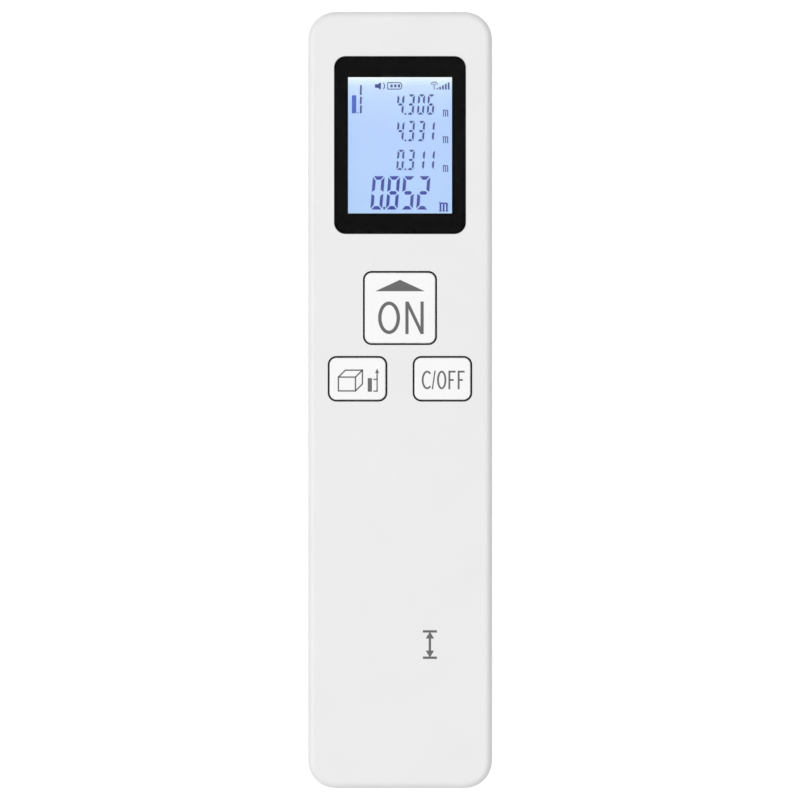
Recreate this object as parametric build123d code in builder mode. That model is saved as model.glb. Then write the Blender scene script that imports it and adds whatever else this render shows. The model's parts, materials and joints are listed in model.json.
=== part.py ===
from build123d import *
import math
import os

# Pen-type laser distance meter, lying on its back, in millimetres.
# +Y is the measuring end, +X is to the right of someone reading the display, +Z comes out of the display.
# The origin is the middle of the back face.

# --- Case -----------------------------------------------------------------------------------------------
LENGTH = 130.0
WIDTH = 30.8
THICKNESS = 17.0
CORNER_RADIUS = 4.6
FRONT_EDGE_RADIUS = 1.1
BACK_EDGE_RADIUS = 3.0
SIDE_WALL = 1.5
FRONT_WALL = 2.0
BACK_WALL = 1.6
SEAM_HEIGHT = 8.5
SEAM_GAP = 0.25
LIP_THICKNESS = 0.7
LIP_HEIGHT = 1.5
FIT = 0.1  # gap between flat moulded faces that slide or drop together
SNUG = 0.04  # gap round pieces that are pressed or bonded in place

# --- Display --------------------------------------------------------------------------------------------
WINDOW_FROM_END = 22.36
WINDOW_WIDTH = 22.0
WINDOW_LENGTH = 29.7
WINDOW_RADIUS = 1.9
WINDOW_THICKNESS = 1.0
WINDOW_SINK = 0.05
WINDOW_CHAMFER = 0.12
MASK_THICKNESS = 0.15
TAPE_THICKNESS = 0.15
VIEW_WIDTH = 17.4
VIEW_LENGTH = 22.8
VIEW_MARGIN = 0.45  # the case opening stands back this far behind the mask
GLASS_MARGIN = 1.0  # display glass beyond the visible area, each side
GLASS_THICKNESS = 0.7
GLASS_LEDGE = 1.8  # rear glass beyond the front glass, where the ribbon is bonded
POLARIZER_THICKNESS = 0.15
POLARIZER_MARGIN = 0.5
GUIDE_THICKNESS = 0.9
FRAME_WALL = 1.0
FRAME_FLOOR = 0.3
FRAME_FACE_GAP = 0.1  # air over the display sandwich
STAKE_RADIUS = 0.75
STAKE_SPACING = 18.0
TAB_THICKNESS = 0.8
TAB_WIDTH = 3.4

# --- Keys -----------------------------------------------------------------------------------------------
ON_KEY_BELOW_WINDOW = 6.2
ON_KEY_SIZE = 12.4
LOW_KEYS_BELOW_ON_KEY = 1.82
LOW_KEY_WIDTH = 9.98
LOW_KEY_LENGTH = 7.64
LOW_KEYS_APART = 4.22
KEY_RADIUS = 1.46
KEY_GAP = 0.3  # all round, in the case opening
KEY_TRAVEL = 0.3
KEY_SINK = 0.05  # below the face of the case
KEY_WALL = 1.0
KEY_EDGE_RADIUS = 0.2
KEY_FLANGE_WIDTH = 0.7
KEY_FLANGE_THICKNESS = 0.7
KEY_POST_RADIUS = 2.2
KEY_POST_LENGTH = 0.3
COLLAR_SINK = 0.25
COLLAR_CLEARANCE = 0.12
WEB_THICKNESS = 0.5
WEB_MARGIN = 1.6
SWITCH_SIZE = 6.0
SWITCH_HEIGHT = 3.1
SWITCH_CHAMFER = 0.3
PLUNGER_RADIUS = 1.7
PLUNGER_RISE = 0.7
PLUNGER_DEPTH = 1.6
PLUNGER_CLEARANCE = 0.08

# --- Board ----------------------------------------------------------------------------------------------
BOARD_THICKNESS = 1.0
BOARD_SIDE_GAP = 0.7
BOARD_TOP_GAP = 1.3  # below the window's lower edge
BOARD_BAY_GAP = 2.7
SCREW_SPACING = 20.0
SCREW_RADIUS = 1.0
SCREW_HEAD_RADIUS = 1.7
SCREW_HEAD_HEIGHT = 1.2
SCREW_SINK = 0.6
SCREW_BITE = 3.6  # length held in the front post
SCREW_ABOVE_ON_KEY = 3.0
SCREW_BELOW_LOW_KEYS = 4.7
RECESS_WIDTH = 0.5
RECESS_LENGTH = 1.9
RECESS_DEPTH = 0.5
POST_RADIUS = 2.0
BOSS_RADIUS = 2.6
PROCESSOR_SIZE = 7.0
PROCESSOR_X = 5.0
CHIP_THICKNESS = 1.0
MEMORY_X = -5.0
DRIVER_WIDTH = 5.0
DRIVER_LENGTH = 4.0
CRYSTAL_WIDTH = 2.0
CRYSTAL_LENGTH = 6.0
CRYSTAL_THICKNESS = 1.4
CRYSTAL_RADIUS = 0.66
SOUNDER_X = -5.0
SOUNDER_RADIUS = 4.5
SOUNDER_HEIGHT = 2.0
SOUNDER_HOLE_RADIUS = 0.6
SOCKET_LENGTH = 2.2
SOCKET_HEIGHT = 1.3
SOCKET_MARGIN = 0.9
RIBBON_THICKNESS = 0.15
RIBBON_WIDTH = 11.0
RIBBON_BEND = 0.8
RIBBON_BITE = 1.3  # length inside a socket or on the glass
OPTICS_RIBBON_WIDTH = 5.0
OPTICS_RIBBON_X = 3.6
OPTICS_RIBBON_BEND = 2.0

# --- Optics ---------------------------------------------------------------------------------------------
LENS_RADIUS = 3.8
LENS_EDGE = 1.2
LENS_BULGE = 1.1
LENS_SHOULDER = 0.4
BARREL_RADIUS = 3.0
BARREL_WALL = 0.8
BARREL_LENGTH = 16.0
COLLIMATOR_THICKNESS = 1.6
COLLIMATOR_BULGE = 0.7
COLLIMATOR_SETBACK = 1.2
DIODE_RADIUS = 1.9
DIODE_LENGTH = 2.6
DIODE_FLANGE = 1.0
DETECTOR_RADIUS = 2.3
DETECTOR_LENGTH = 2.2
CHASSIS_LENGTH = 21.0
CHASSIS_WIDTH = 24.4
CHASSIS_GAP = 0.3  # under the display tray
CHASSIS_RIB = 1.0  # between the screws and each bore
CHASSIS_LIFT = 0.7  # above the case's floor
CHASSIS_CHAMFER = 0.8
CHASSIS_FROM_END = 3.6
CHASSIS_SCREW_X = 1.1
CHASSIS_SCREW_SPACING = 12.0
CHASSIS_SCREW_RADIUS = 0.8
CHASSIS_SCREW_HEAD = 1.4
CHASSIS_SCREW_HEAD_HEIGHT = 1.1
CHASSIS_SCREW_SINK = 1.1
CHASSIS_BOSS_RADIUS = 1.6
CHASSIS_BOSS_HEIGHT = 3.0
RECEIVER_BOARD_THICKNESS = 1.0
RECEIVER_BOARD_INSET = 0.3
SHIELD_WIDTH = 11.4
SHIELD_HEIGHT = 8.0
SHIELD_DEPTH = 4.4
SHIELD_WALL = 0.2
SHIELD_X = -5.6
BEZEL_WIDTH = 20.4
BEZEL_RIM = 0.5  # round the receiving window's seat
BEZEL_RADIUS = 2.0
BEZEL_SINK = 0.15
BEZEL_FLANGE = 0.9  # beyond the opening on each side
BEZEL_FLANGE_THICKNESS = 0.9
BEZEL_DISH = 0.35
EXIT_RADIUS = 2.2
PANE_THICKNESS = 0.8
PANE_SEAT = 0.5
PANE_COVER = 0.4  # bezel left in front of each pane

# --- Battery bay ----------------------------------------------------------------------------------------
CELL_LENGTH = 44.5
CELL_DIAMETER = 10.4
CELL_NUB_RADIUS = 1.9
CELL_NUB_LENGTH = 0.8
CELL_EDGE_RADIUS = 0.4
CELL_SIDE_GAP = 0.3
CELL_LIFT = 0.4  # above the cover's inner face
CELL_ROOF_GAP = 0.2
CONTACT_THICKNESS = 0.3
CONTACT_SIZE = 7.6
CONTACT_TAIL_WIDTH = 2.0
CONTACT_TAIL_REACH = 2.2  # under the board
SPRING_LENGTH = 4.0
SPRING_WIRE = 0.45
SPRING_RADIUS = 2.8
SPRING_TURNS = 3.5
BAY_WALL = 1.0
BAY_CASE_GAP = 0.3

# --- Battery cover --------------------------------------------------------------------------------------
COVER_EDGE_OVERLAP = 1.1  # cover beyond the bay wall
COVER_LEDGE = 1.2
RAIL_WIDTH = 0.8
RAIL_THICKNESS = 0.8
GRIP_WIDTH = 12.0
GRIP_LENGTH = 9.0
GRIP_RADIUS = 1.0
GRIP_DEPTH = 0.5
GRIP_RIBS = 5
GRIP_RIB_WIDTH = 0.6
GRIP_FROM_EDGE = 4.0
ARROW_GAP = 2.5
ARROW_WIDTH = 5.0
ARROW_LENGTH = 3.0
ARROW_DEPTH = 0.3

# --- Label ----------------------------------------------------------------------------------------------
LABEL_WIDTH = 18.0
LABEL_LENGTH = 14.0
LABEL_RADIUS = 1.0
LABEL_THICKNESS = 0.15
LABEL_SINK = 0.05

# --- Measuring sign, inlaid in the face -----------------------------------------------------------------
SIGN_X = 5.0
SIGN_FROM_END = 24.1  # from the battery end
SIGN_WIDTH = 2.35
SIGN_LENGTH = 4.8
SIGN_LINE = 0.4
SIGN_HEAD_WIDTH = 1.4
SIGN_HEAD_LENGTH = 1.2
SIGN_DEPTH = 0.1
SIGN_SINK = 0.02

# --- Levels and places worked out from the sizes above --------------------------------------------------
measuring_end = LENGTH / 2
battery_end = -LENGTH / 2
inside_x = WIDTH / 2 - SIDE_WALL
plate_z = THICKNESS - FRONT_WALL

window_y = measuring_end - WINDOW_FROM_END
on_key_y = window_y - WINDOW_LENGTH / 2 - ON_KEY_BELOW_WINDOW - ON_KEY_SIZE / 2
low_keys_y = on_key_y - ON_KEY_SIZE / 2 - LOW_KEYS_BELOW_ON_KEY - LOW_KEY_LENGTH / 2
low_key_x = (LOW_KEYS_APART + LOW_KEY_WIDTH) / 2
key_top = THICKNESS - KEY_SINK
mode_key_at = (-low_key_x, low_keys_y)
clear_key_at = (low_key_x, low_keys_y)
on_key_at = (0, on_key_y)
KEYS = {
    "on": (on_key_at, ON_KEY_SIZE, ON_KEY_SIZE),
    "mode": (mode_key_at, LOW_KEY_WIDTH, LOW_KEY_LENGTH),
    "clear": (clear_key_at, LOW_KEY_WIDTH, LOW_KEY_LENGTH),
}

window_top = THICKNESS - WINDOW_SINK
window_bottom = window_top - WINDOW_THICKNESS
mask_bottom = window_bottom - MASK_THICKNESS
seat_z = mask_bottom - TAPE_THICKNESS

web_bottom = plate_z - WEB_THICKNESS
flange_top = web_bottom - FIT
flange_bottom = flange_top - KEY_FLANGE_THICKNESS
post_bottom = flange_bottom - KEY_POST_LENGTH
board_top = post_bottom - PLUNGER_RISE - SWITCH_HEIGHT
board_bottom = board_top - BOARD_THICKNESS
board_high = window_y - WINDOW_LENGTH / 2 - BOARD_TOP_GAP
board_half_width = inside_x - BOARD_SIDE_GAP

screw_rows = (
    on_key_y + ON_KEY_SIZE / 2 + SCREW_ABOVE_ON_KEY,
    low_keys_y - LOW_KEY_LENGTH / 2 - SCREW_BELOW_LOW_KEYS,
)
SCREW_PLACES = [(side * SCREW_SPACING / 2, row) for side in (-1, 1) for row in screw_rows]

glass_top = plate_z - FRAME_FACE_GAP - POLARIZER_THICKNESS
glass_middle = glass_top - GLASS_THICKNESS
glass_bottom = glass_middle - GLASS_THICKNESS
guide_top = glass_bottom - POLARIZER_THICKNESS
guide_bottom = guide_top - GUIDE_THICKNESS
frame_bottom = guide_bottom - FRAME_FLOOR
glass_half_width = VIEW_WIDTH / 2 + GLASS_MARGIN
glass_high = window_y + VIEW_LENGTH / 2 + GLASS_MARGIN
glass_low = window_y - VIEW_LENGTH / 2 - GLASS_MARGIN
ledge_low = glass_low - GLASS_LEDGE
frame_half_width = glass_half_width + SNUG + FRAME_WALL
frame_high = glass_high + SNUG + FRAME_WALL
frame_low = ledge_low - SNUG - FRAME_WALL
stake_x = frame_half_width + TAB_WIDTH / 2 - FRAME_WALL / 2
STAKE_PLACES = [(side * stake_x, window_y + end * STAKE_SPACING / 2) for side in (-1, 1) for end in (-1, 1)]

cover_top = BACK_WALL
cover_half_width = WIDTH / 2 - BACK_EDGE_RADIUS
ledge_bottom = cover_top + FIT
ledge_top = ledge_bottom + COVER_LEDGE
cell_radius = CELL_DIAMETER / 2
cell_z = cover_top + CELL_LIFT + cell_radius
cell_x = cell_radius + CELL_SIDE_GAP / 2
bay_half_width = cell_x + cell_radius + CELL_SIDE_GAP
bay_roof = cell_z + cell_radius + CELL_ROOF_GAP
bay_low = battery_end + SIDE_WALL + BAY_CASE_GAP + BAY_WALL
bay_high = bay_low + SPRING_LENGTH + CELL_LENGTH + 2 * CONTACT_THICKNESS
board_low = bay_high + BAY_WALL + BOARD_BAY_GAP
cover_high = bay_high + BAY_WALL + COVER_EDGE_OVERLAP
contact_low = bay_low + CONTACT_THICKNESS
contact_high = bay_high - CONTACT_THICKNESS

chassis_bottom = BACK_WALL + CHASSIS_LIFT
chassis_top = frame_bottom - CHASSIS_GAP
chassis_half_height = (chassis_top - chassis_bottom) / 2
optics_z = chassis_bottom + chassis_half_height
screw_side = CHASSIS_SCREW_HEAD + FIT + CHASSIS_RIB
laser_at = (CHASSIS_SCREW_X + screw_side + BARREL_RADIUS, optics_z)
receiver_at = (CHASSIS_SCREW_X - screw_side - LENS_RADIUS, optics_z)
chassis_high = measuring_end - CHASSIS_FROM_END
chassis_low = chassis_high - CHASSIS_LENGTH
chassis_screw_rows = [
    chassis_low + CHASSIS_LENGTH / 2 + end * CHASSIS_SCREW_SPACING / 2 for end in (-1, 1)
]
CHASSIS_SCREW_PLACES = [(CHASSIS_SCREW_X, row) for row in chassis_screw_rows]
chassis_boss_top = BACK_WALL + CHASSIS_BOSS_HEIGHT
chassis_head_seat = chassis_top - CHASSIS_SCREW_SINK - CHASSIS_SCREW_HEAD_HEIGHT
shoulder_radius = LENS_RADIUS - LENS_SHOULDER
bezel_height = 2 * (shoulder_radius + PANE_SEAT + BEZEL_RIM)
bezel_flange_height = 2 * (optics_z - BACK_WALL - FIT)
lens_back = chassis_high - LENS_EDGE - LENS_BULGE - FIT
barrel_low = chassis_high - BARREL_LENGTH
bore_radius = BARREL_RADIUS - BARREL_WALL
diode_seat = barrel_low
receiver_board_high = chassis_low
receiver_board_low = receiver_board_high - RECEIVER_BOARD_THICKNESS
bezel_face = measuring_end - BEZEL_SINK
wall_inner_y = measuring_end - SIDE_WALL
bezel_flange_high = wall_inner_y - FIT
bezel_back = bezel_flange_high - BEZEL_FLANGE_THICKNESS
pane_high = bezel_face - BEZEL_DISH - PANE_COVER


# --- Shapes used again and again ------------------------------------------------------------------------
def about(centre, size):
    """The two limits of a length that is centred on a place."""
    return (centre - size / 2, centre + size / 2)


def block(x, y, z, mode=Mode.ADD):
    """A square block between two limits on each axis."""
    limits = (x, y, z)
    with Locations(tuple((low + high) / 2 for low, high in limits)):
        Box(*(high - low for low, high in limits), mode=mode)


def plate(width, length, radius, centre, z, mode=Mode.ADD):
    """A flat plate with rounded corners, between two heights."""
    with BuildSketch(Plane.XY.offset(z[0])) as outline:
        with Locations(centre):
            RectangleRounded(width, length, radius)
    extrude(outline.sketch, amount=z[1] - z[0], mode=mode)


def case_plate(inset, z, mode=Mode.ADD):
    """The outline of the case, drawn in by an inset, between two heights."""
    plate(WIDTH - 2 * inset, LENGTH - 2 * inset, CORNER_RADIUS - inset, (0, 0), z, mode)


def post(radius, centre, z, mode=Mode.ADD):
    """A round post along Z at (x, y)."""
    with BuildSketch(Plane.XY.offset(z[0])) as disc:
        with Locations(centre):
            Circle(radius)
    extrude(disc.sketch, amount=z[1] - z[0], mode=mode)


def rod(radius, centre, y, mode=Mode.ADD):
    """A round rod along Y at (x, z)."""
    with BuildSketch(Plane.XZ.offset(-y[1])) as disc:
        with Locations(centre):
            Circle(radius)
    extrude(disc.sketch, amount=y[1] - y[0], mode=mode)


def end_plate(width, height, radius, y, mode=Mode.ADD):
    """A plate with rounded corners across the measuring end, between two places along Y."""
    with BuildSketch(Plane.XZ.offset(-y[1])) as outline:
        with Locations((0, optics_z)):
            RectangleRounded(width, height, radius)
    extrude(outline.sketch, amount=y[1] - y[0], mode=mode)


def ribbon(points, bend, x, width):
    """A thin flexible ribbon along a path in the YZ plane."""
    with BuildSketch(Plane.YZ.offset(x - width / 2)) as section:
        with BuildLine():
            FilletPolyline(*points, radius=bend)
        trace(line_width=RIBBON_THICKNESS)
    extrude(section.sketch, amount=width)


def sign(z, mode=Mode.ADD):
    """A double arrow between two end lines, between two heights."""
    centre_y = battery_end + SIGN_FROM_END
    tip = (SIGN_LENGTH - SIGN_LINE) / 2
    with BuildSketch(Plane.XY.offset(z[0])) as outline:
        with Locations((SIGN_X, centre_y)):
            with GridLocations(0, SIGN_LENGTH - SIGN_LINE, 1, 2):
                Rectangle(SIGN_WIDTH, SIGN_LINE)
            Rectangle(SIGN_LINE, SIGN_LENGTH - 2 * SIGN_HEAD_LENGTH)
            for end in (-1, 1):
                Polygon(
                    (0, end * tip),
                    (-SIGN_HEAD_WIDTH / 2, end * (tip - SIGN_HEAD_LENGTH)),
                    (SIGN_HEAD_WIDTH / 2, end * (tip - SIGN_HEAD_LENGTH)),
                    align=None,
                )
    extrude(outline.sketch, amount=z[1] - z[0], mode=mode)


def save(piece, name):
    """Label a finished piece and write it to its own file."""
    piece.part.label = name
    export_step(piece.part, f"parts/{name}.step")


os.makedirs("parts", exist_ok=True)

# --- Front shell ----------------------------------------------------------------------------------------
with BuildPart() as front_shell:
    case_plate(0, (SEAM_HEIGHT + SEAM_GAP, THICKNESS))
    fillet(front_shell.faces().sort_by(Axis.Z)[-1].edges(), FRONT_EDGE_RADIUS)
    case_plate(SIDE_WALL, (SEAM_HEIGHT, plate_z), Mode.SUBTRACT)
    rebate_top = SEAM_HEIGHT + LIP_HEIGHT + FIT
    case_plate(SIDE_WALL - LIP_THICKNESS - FIT, (SEAM_HEIGHT, rebate_top), Mode.SUBTRACT)
    plate(
        WINDOW_WIDTH + 2 * SNUG,
        WINDOW_LENGTH + 2 * SNUG,
        WINDOW_RADIUS + SNUG,
        (0, window_y),
        (seat_z, THICKNESS),
        Mode.SUBTRACT,
    )
    view_x = about(0, VIEW_WIDTH + 2 * VIEW_MARGIN)
    view_y = about(window_y, VIEW_LENGTH + 2 * VIEW_MARGIN)
    block(view_x, view_y, (plate_z, seat_z), Mode.SUBTRACT)
    for centre, width, length in KEYS.values():
        plate(width, length, KEY_RADIUS, centre, (plate_z, THICKNESS), Mode.SUBTRACT)
    for place in SCREW_PLACES:
        post(POST_RADIUS, place, (board_top, plate_z))
        post(SCREW_RADIUS + SNUG, place, (board_top, board_top + SCREW_BITE + FIT), Mode.SUBTRACT)
    for place in STAKE_PLACES:
        post(STAKE_RADIUS, place, (frame_bottom, plate_z))
    end_plate(BEZEL_WIDTH, bezel_height, BEZEL_RADIUS, (wall_inner_y, measuring_end), Mode.SUBTRACT)
    sign((THICKNESS - SIGN_DEPTH, THICKNESS), Mode.SUBTRACT)
save(front_shell, "front_shell")

# --- Measuring sign, inlaid in the face -----------------------------------------------------------------
with BuildPart() as measuring_sign:
    sign((THICKNESS - SIGN_DEPTH, THICKNESS - SIGN_SINK))
save(measuring_sign, "measuring_sign")

# --- Back shell -----------------------------------------------------------------------------------------
with BuildPart() as back_shell:
    case_plate(0, (0, SEAM_HEIGHT))
    fillet(back_shell.faces().sort_by(Axis.Z)[0].edges(), BACK_EDGE_RADIUS)
    case_plate(SIDE_WALL, (ledge_top, SEAM_HEIGHT), Mode.SUBTRACT)
    front_room = (cover_high + COVER_EDGE_OVERLAP, measuring_end - SIDE_WALL)
    front_length = front_room[1] - front_room[0]
    plate(
        2 * inside_x,
        front_length,
        CORNER_RADIUS - SIDE_WALL,
        (0, sum(front_room) / 2),
        (BACK_WALL, SEAM_HEIGHT),
        Mode.SUBTRACT,
    )
    case_plate(SIDE_WALL - LIP_THICKNESS, (SEAM_HEIGHT, SEAM_HEIGHT + LIP_HEIGHT))
    case_plate(SIDE_WALL, (SEAM_HEIGHT, SEAM_HEIGHT + LIP_HEIGHT), Mode.SUBTRACT)
    bay_x = about(0, 2 * bay_half_width)
    bay_outer_x = about(0, 2 * (bay_half_width + BAY_WALL))
    bay_outer_y = (bay_low - BAY_WALL, bay_high + BAY_WALL)
    block(bay_outer_x, bay_outer_y, (ledge_bottom, bay_roof + BAY_WALL))
    block(bay_x, (bay_low, bay_high), (0, bay_roof), Mode.SUBTRACT)
    for side in (-1, 1):
        tail_x = about(side * cell_x, CONTACT_TAIL_WIDTH + 2 * FIT)
        tail_z = (board_bottom - CONTACT_THICKNESS - FIT, board_bottom + FIT)
        block(tail_x, (bay_high, bay_high + BAY_WALL), tail_z, Mode.SUBTRACT)
    cover_y = (battery_end, cover_high + FIT)
    block(about(0, 2 * (cover_half_width + FIT)), cover_y, (0, ledge_bottom), Mode.SUBTRACT)
    rail_z = (cover_top - RAIL_THICKNESS - FIT, ledge_bottom)
    block(about(0, 2 * (cover_half_width + RAIL_WIDTH + FIT)), cover_y, rail_z, Mode.SUBTRACT)
    for place in SCREW_PLACES:
        post(BOSS_RADIUS, place, (BACK_WALL, board_bottom))
    with Locations(*(Location((x, y, 0), (0, 180, 0)) for x, y in SCREW_PLACES)):
        CounterBoreHole(
            radius=SCREW_RADIUS + FIT,
            counter_bore_radius=SCREW_HEAD_RADIUS + FIT,
            counter_bore_depth=SCREW_SINK + SCREW_HEAD_HEIGHT,
            depth=board_bottom,
        )
    for place in CHASSIS_SCREW_PLACES:
        post(CHASSIS_BOSS_RADIUS, place, (BACK_WALL, chassis_boss_top))
        post(CHASSIS_SCREW_RADIUS + SNUG, place, (BACK_WALL, chassis_boss_top), Mode.SUBTRACT)
    end_plate(BEZEL_WIDTH, bezel_height, BEZEL_RADIUS, (wall_inner_y, measuring_end), Mode.SUBTRACT)
    label_z = (0, LABEL_THICKNESS + LABEL_SINK)
    label_recess = (LABEL_WIDTH + 2 * FIT, LABEL_LENGTH + 2 * FIT, LABEL_RADIUS)
    plate(*label_recess, (0, window_y), label_z, Mode.SUBTRACT)
save(back_shell, "back_shell")

# --- Battery cover: a panel with a rail along each side, cut from the case's own outline ------------------
with BuildPart() as battery_cover:
    case_plate(0, (0, SEAM_HEIGHT))
    fillet(battery_cover.faces().sort_by(Axis.Z)[0].edges(), BACK_EDGE_RADIUS)
    with BuildSketch(Plane.XZ.offset(-cover_high)) as cover_section:
        with Locations((0, cover_top / 2)):
            Rectangle(2 * cover_half_width, cover_top)
        with Locations((0, cover_top - RAIL_THICKNESS / 2)):
            Rectangle(2 * (cover_half_width + RAIL_WIDTH), RAIL_THICKNESS)
    extrude(cover_section.sketch, amount=cover_high - battery_end, mode=Mode.INTERSECT)
    grip_y = cover_high - GRIP_FROM_EDGE - GRIP_LENGTH / 2
    plate(GRIP_WIDTH, GRIP_LENGTH, GRIP_RADIUS, (0, grip_y), (0, GRIP_DEPTH), Mode.SUBTRACT)
    rib_pitch = GRIP_LENGTH / (GRIP_RIBS + 1)
    with BuildSketch(Plane.XY):
        with Locations((0, grip_y)):
            with GridLocations(0, rib_pitch, 1, GRIP_RIBS):
                Rectangle(GRIP_WIDTH, GRIP_RIB_WIDTH)
    extrude(amount=GRIP_DEPTH)
    arrow_y = grip_y - GRIP_LENGTH / 2 - ARROW_GAP
    with BuildSketch(Plane.XY):
        Polygon(
            (0, arrow_y - ARROW_LENGTH),
            (ARROW_WIDTH / 2, arrow_y),
            (-ARROW_WIDTH / 2, arrow_y),
            align=None,
        )
    extrude(amount=ARROW_DEPTH, mode=Mode.SUBTRACT)
save(battery_cover, "battery_cover")

# --- Display window, its printed border and its tape ----------------------------------------------------
with BuildPart() as display_window:
    plate(WINDOW_WIDTH, WINDOW_LENGTH, WINDOW_RADIUS, (0, window_y), (window_bottom, window_top))
    chamfer(display_window.faces().sort_by(Axis.Z)[-1].edges(), WINDOW_CHAMFER)
save(display_window, "display_window")

with BuildPart() as window_mask:
    plate(WINDOW_WIDTH, WINDOW_LENGTH, WINDOW_RADIUS, (0, window_y), (mask_bottom, window_bottom))
    mask_z = (mask_bottom, window_bottom)
    block(about(0, VIEW_WIDTH), about(window_y, VIEW_LENGTH), mask_z, Mode.SUBTRACT)
save(window_mask, "window_mask")

with BuildPart() as window_adhesive:
    plate(WINDOW_WIDTH, WINDOW_LENGTH, WINDOW_RADIUS, (0, window_y), (seat_z, mask_bottom))
    block(view_x, view_y, (seat_z, mask_bottom), Mode.SUBTRACT)
save(window_adhesive, "window_adhesive")

# --- Display sandwich, from the front: polarizer, two glasses, polarizer, light guide, tray --------------
glass_x = about(0, 2 * glass_half_width)
polarizer_x = about(0, VIEW_WIDTH + 2 * POLARIZER_MARGIN)
polarizer_y = about(window_y, VIEW_LENGTH + 2 * POLARIZER_MARGIN)

with BuildPart() as front_polarizer:
    block(polarizer_x, polarizer_y, (glass_top, glass_top + POLARIZER_THICKNESS))
save(front_polarizer, "front_polarizer")

with BuildPart() as lcd_glass_front:
    block(glass_x, (glass_low, glass_high), (glass_middle, glass_top))
save(lcd_glass_front, "lcd_glass_front")

with BuildPart() as lcd_glass_rear:
    block(glass_x, (ledge_low, glass_high), (glass_bottom, glass_middle))
save(lcd_glass_rear, "lcd_glass_rear")

with BuildPart() as rear_polarizer:
    block(polarizer_x, polarizer_y, (guide_top, glass_bottom))
save(rear_polarizer, "rear_polarizer")

with BuildPart() as light_guide:
    block(glass_x, (ledge_low, glass_high), (guide_bottom, guide_top))
save(light_guide, "light_guide")

with BuildPart() as lcd_frame:
    block(about(0, 2 * frame_half_width), (frame_low, frame_high), (frame_bottom, plate_z))
    pocket_x = about(0, 2 * (glass_half_width + SNUG))
    block(pocket_x, (ledge_low - SNUG, glass_high + SNUG), (guide_bottom, plate_z), Mode.SUBTRACT)
    with BuildSketch(Plane.XY.offset(frame_bottom)):
        for x, y in STAKE_PLACES:
            with Locations((x, y)):
                Rectangle(TAB_WIDTH, TAB_WIDTH)
    extrude(amount=TAB_THICKNESS)
    for place in STAKE_PLACES:
        post(STAKE_RADIUS + SNUG, place, (frame_bottom, frame_bottom + TAB_THICKNESS), Mode.SUBTRACT)
    block(pocket_x, (ledge_low - SNUG, glass_high + SNUG), (guide_bottom, plate_z), Mode.SUBTRACT)
    block(about(0, RIBBON_WIDTH + 2 * FIT), (frame_low, ledge_low), (glass_middle, plate_z), Mode.SUBTRACT)
save(lcd_frame, "lcd_frame")

socket_high = board_high - SOCKET_LENGTH / 2
socket_low = socket_high - SOCKET_LENGTH
socket_slot_z = board_top + SOCKET_HEIGHT / 2
ribbon_drop_y = frame_low - RIBBON_BEND
with BuildPart() as lcd_flex:
    ribbon_top = glass_middle + RIBBON_THICKNESS / 2
    ribbon(
        [
            (ledge_low + RIBBON_BITE, ribbon_top),
            (ribbon_drop_y, ribbon_top),
            (ribbon_drop_y, socket_slot_z),
            (socket_high - RIBBON_BITE, socket_slot_z),
        ],
        RIBBON_BEND,
        0,
        RIBBON_WIDTH,
    )
save(lcd_flex, "lcd_flex")

with BuildPart() as lcd_socket:
    socket_x = about(0, RIBBON_WIDTH + 2 * SOCKET_MARGIN)
    block(socket_x, (socket_low, socket_high), (board_top, board_top + SOCKET_HEIGHT))
    slot_x = about(0, RIBBON_WIDTH + 2 * FIT)
    slot_y = (socket_high - RIBBON_BITE - FIT, socket_high)
    block(slot_x, slot_y, about(socket_slot_z, RIBBON_THICKNESS + 2 * SNUG), Mode.SUBTRACT)
save(lcd_socket, "lcd_socket")

# --- Keys, their silicone web and their switches --------------------------------------------------------
for name, (centre, width, length) in KEYS.items():
    with BuildPart() as button:
        cap = (width - 2 * KEY_GAP, length - 2 * KEY_GAP, KEY_RADIUS - KEY_GAP)
        plate(*cap, centre, (flange_bottom, key_top))
        fillet(button.faces().sort_by(Axis.Z)[-1].edges(), KEY_EDGE_RADIUS)
        flange = (width + 2 * KEY_FLANGE_WIDTH, length + 2 * KEY_FLANGE_WIDTH, KEY_RADIUS)
        plate(*flange, centre, (flange_bottom, flange_top))
        hollow = (cap[0] - 2 * KEY_WALL, cap[1] - 2 * KEY_WALL, KEY_EDGE_RADIUS)
        plate(*hollow, centre, (flange_bottom, key_top - KEY_WALL), Mode.SUBTRACT)
        post(KEY_POST_RADIUS, centre, (post_bottom, key_top - KEY_WALL))
    save(button, f"{name}_button")

    with BuildPart() as switch:
        switch_top = board_top + SWITCH_HEIGHT
        block(about(centre[0], SWITCH_SIZE), about(centre[1], SWITCH_SIZE), (board_top, switch_top))
        chamfer(switch.edges().filter_by(Axis.Z), SWITCH_CHAMFER)
        well = (switch_top - PLUNGER_DEPTH - KEY_TRAVEL - FIT, switch_top)
        post(PLUNGER_RADIUS + PLUNGER_CLEARANCE, centre, well, Mode.SUBTRACT)
    save(switch, f"{name}_switch")

    with BuildPart() as plunger:
        post(PLUNGER_RADIUS, centre, (switch_top - PLUNGER_DEPTH, post_bottom))
    save(plunger, f"{name}_plunger")

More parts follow.
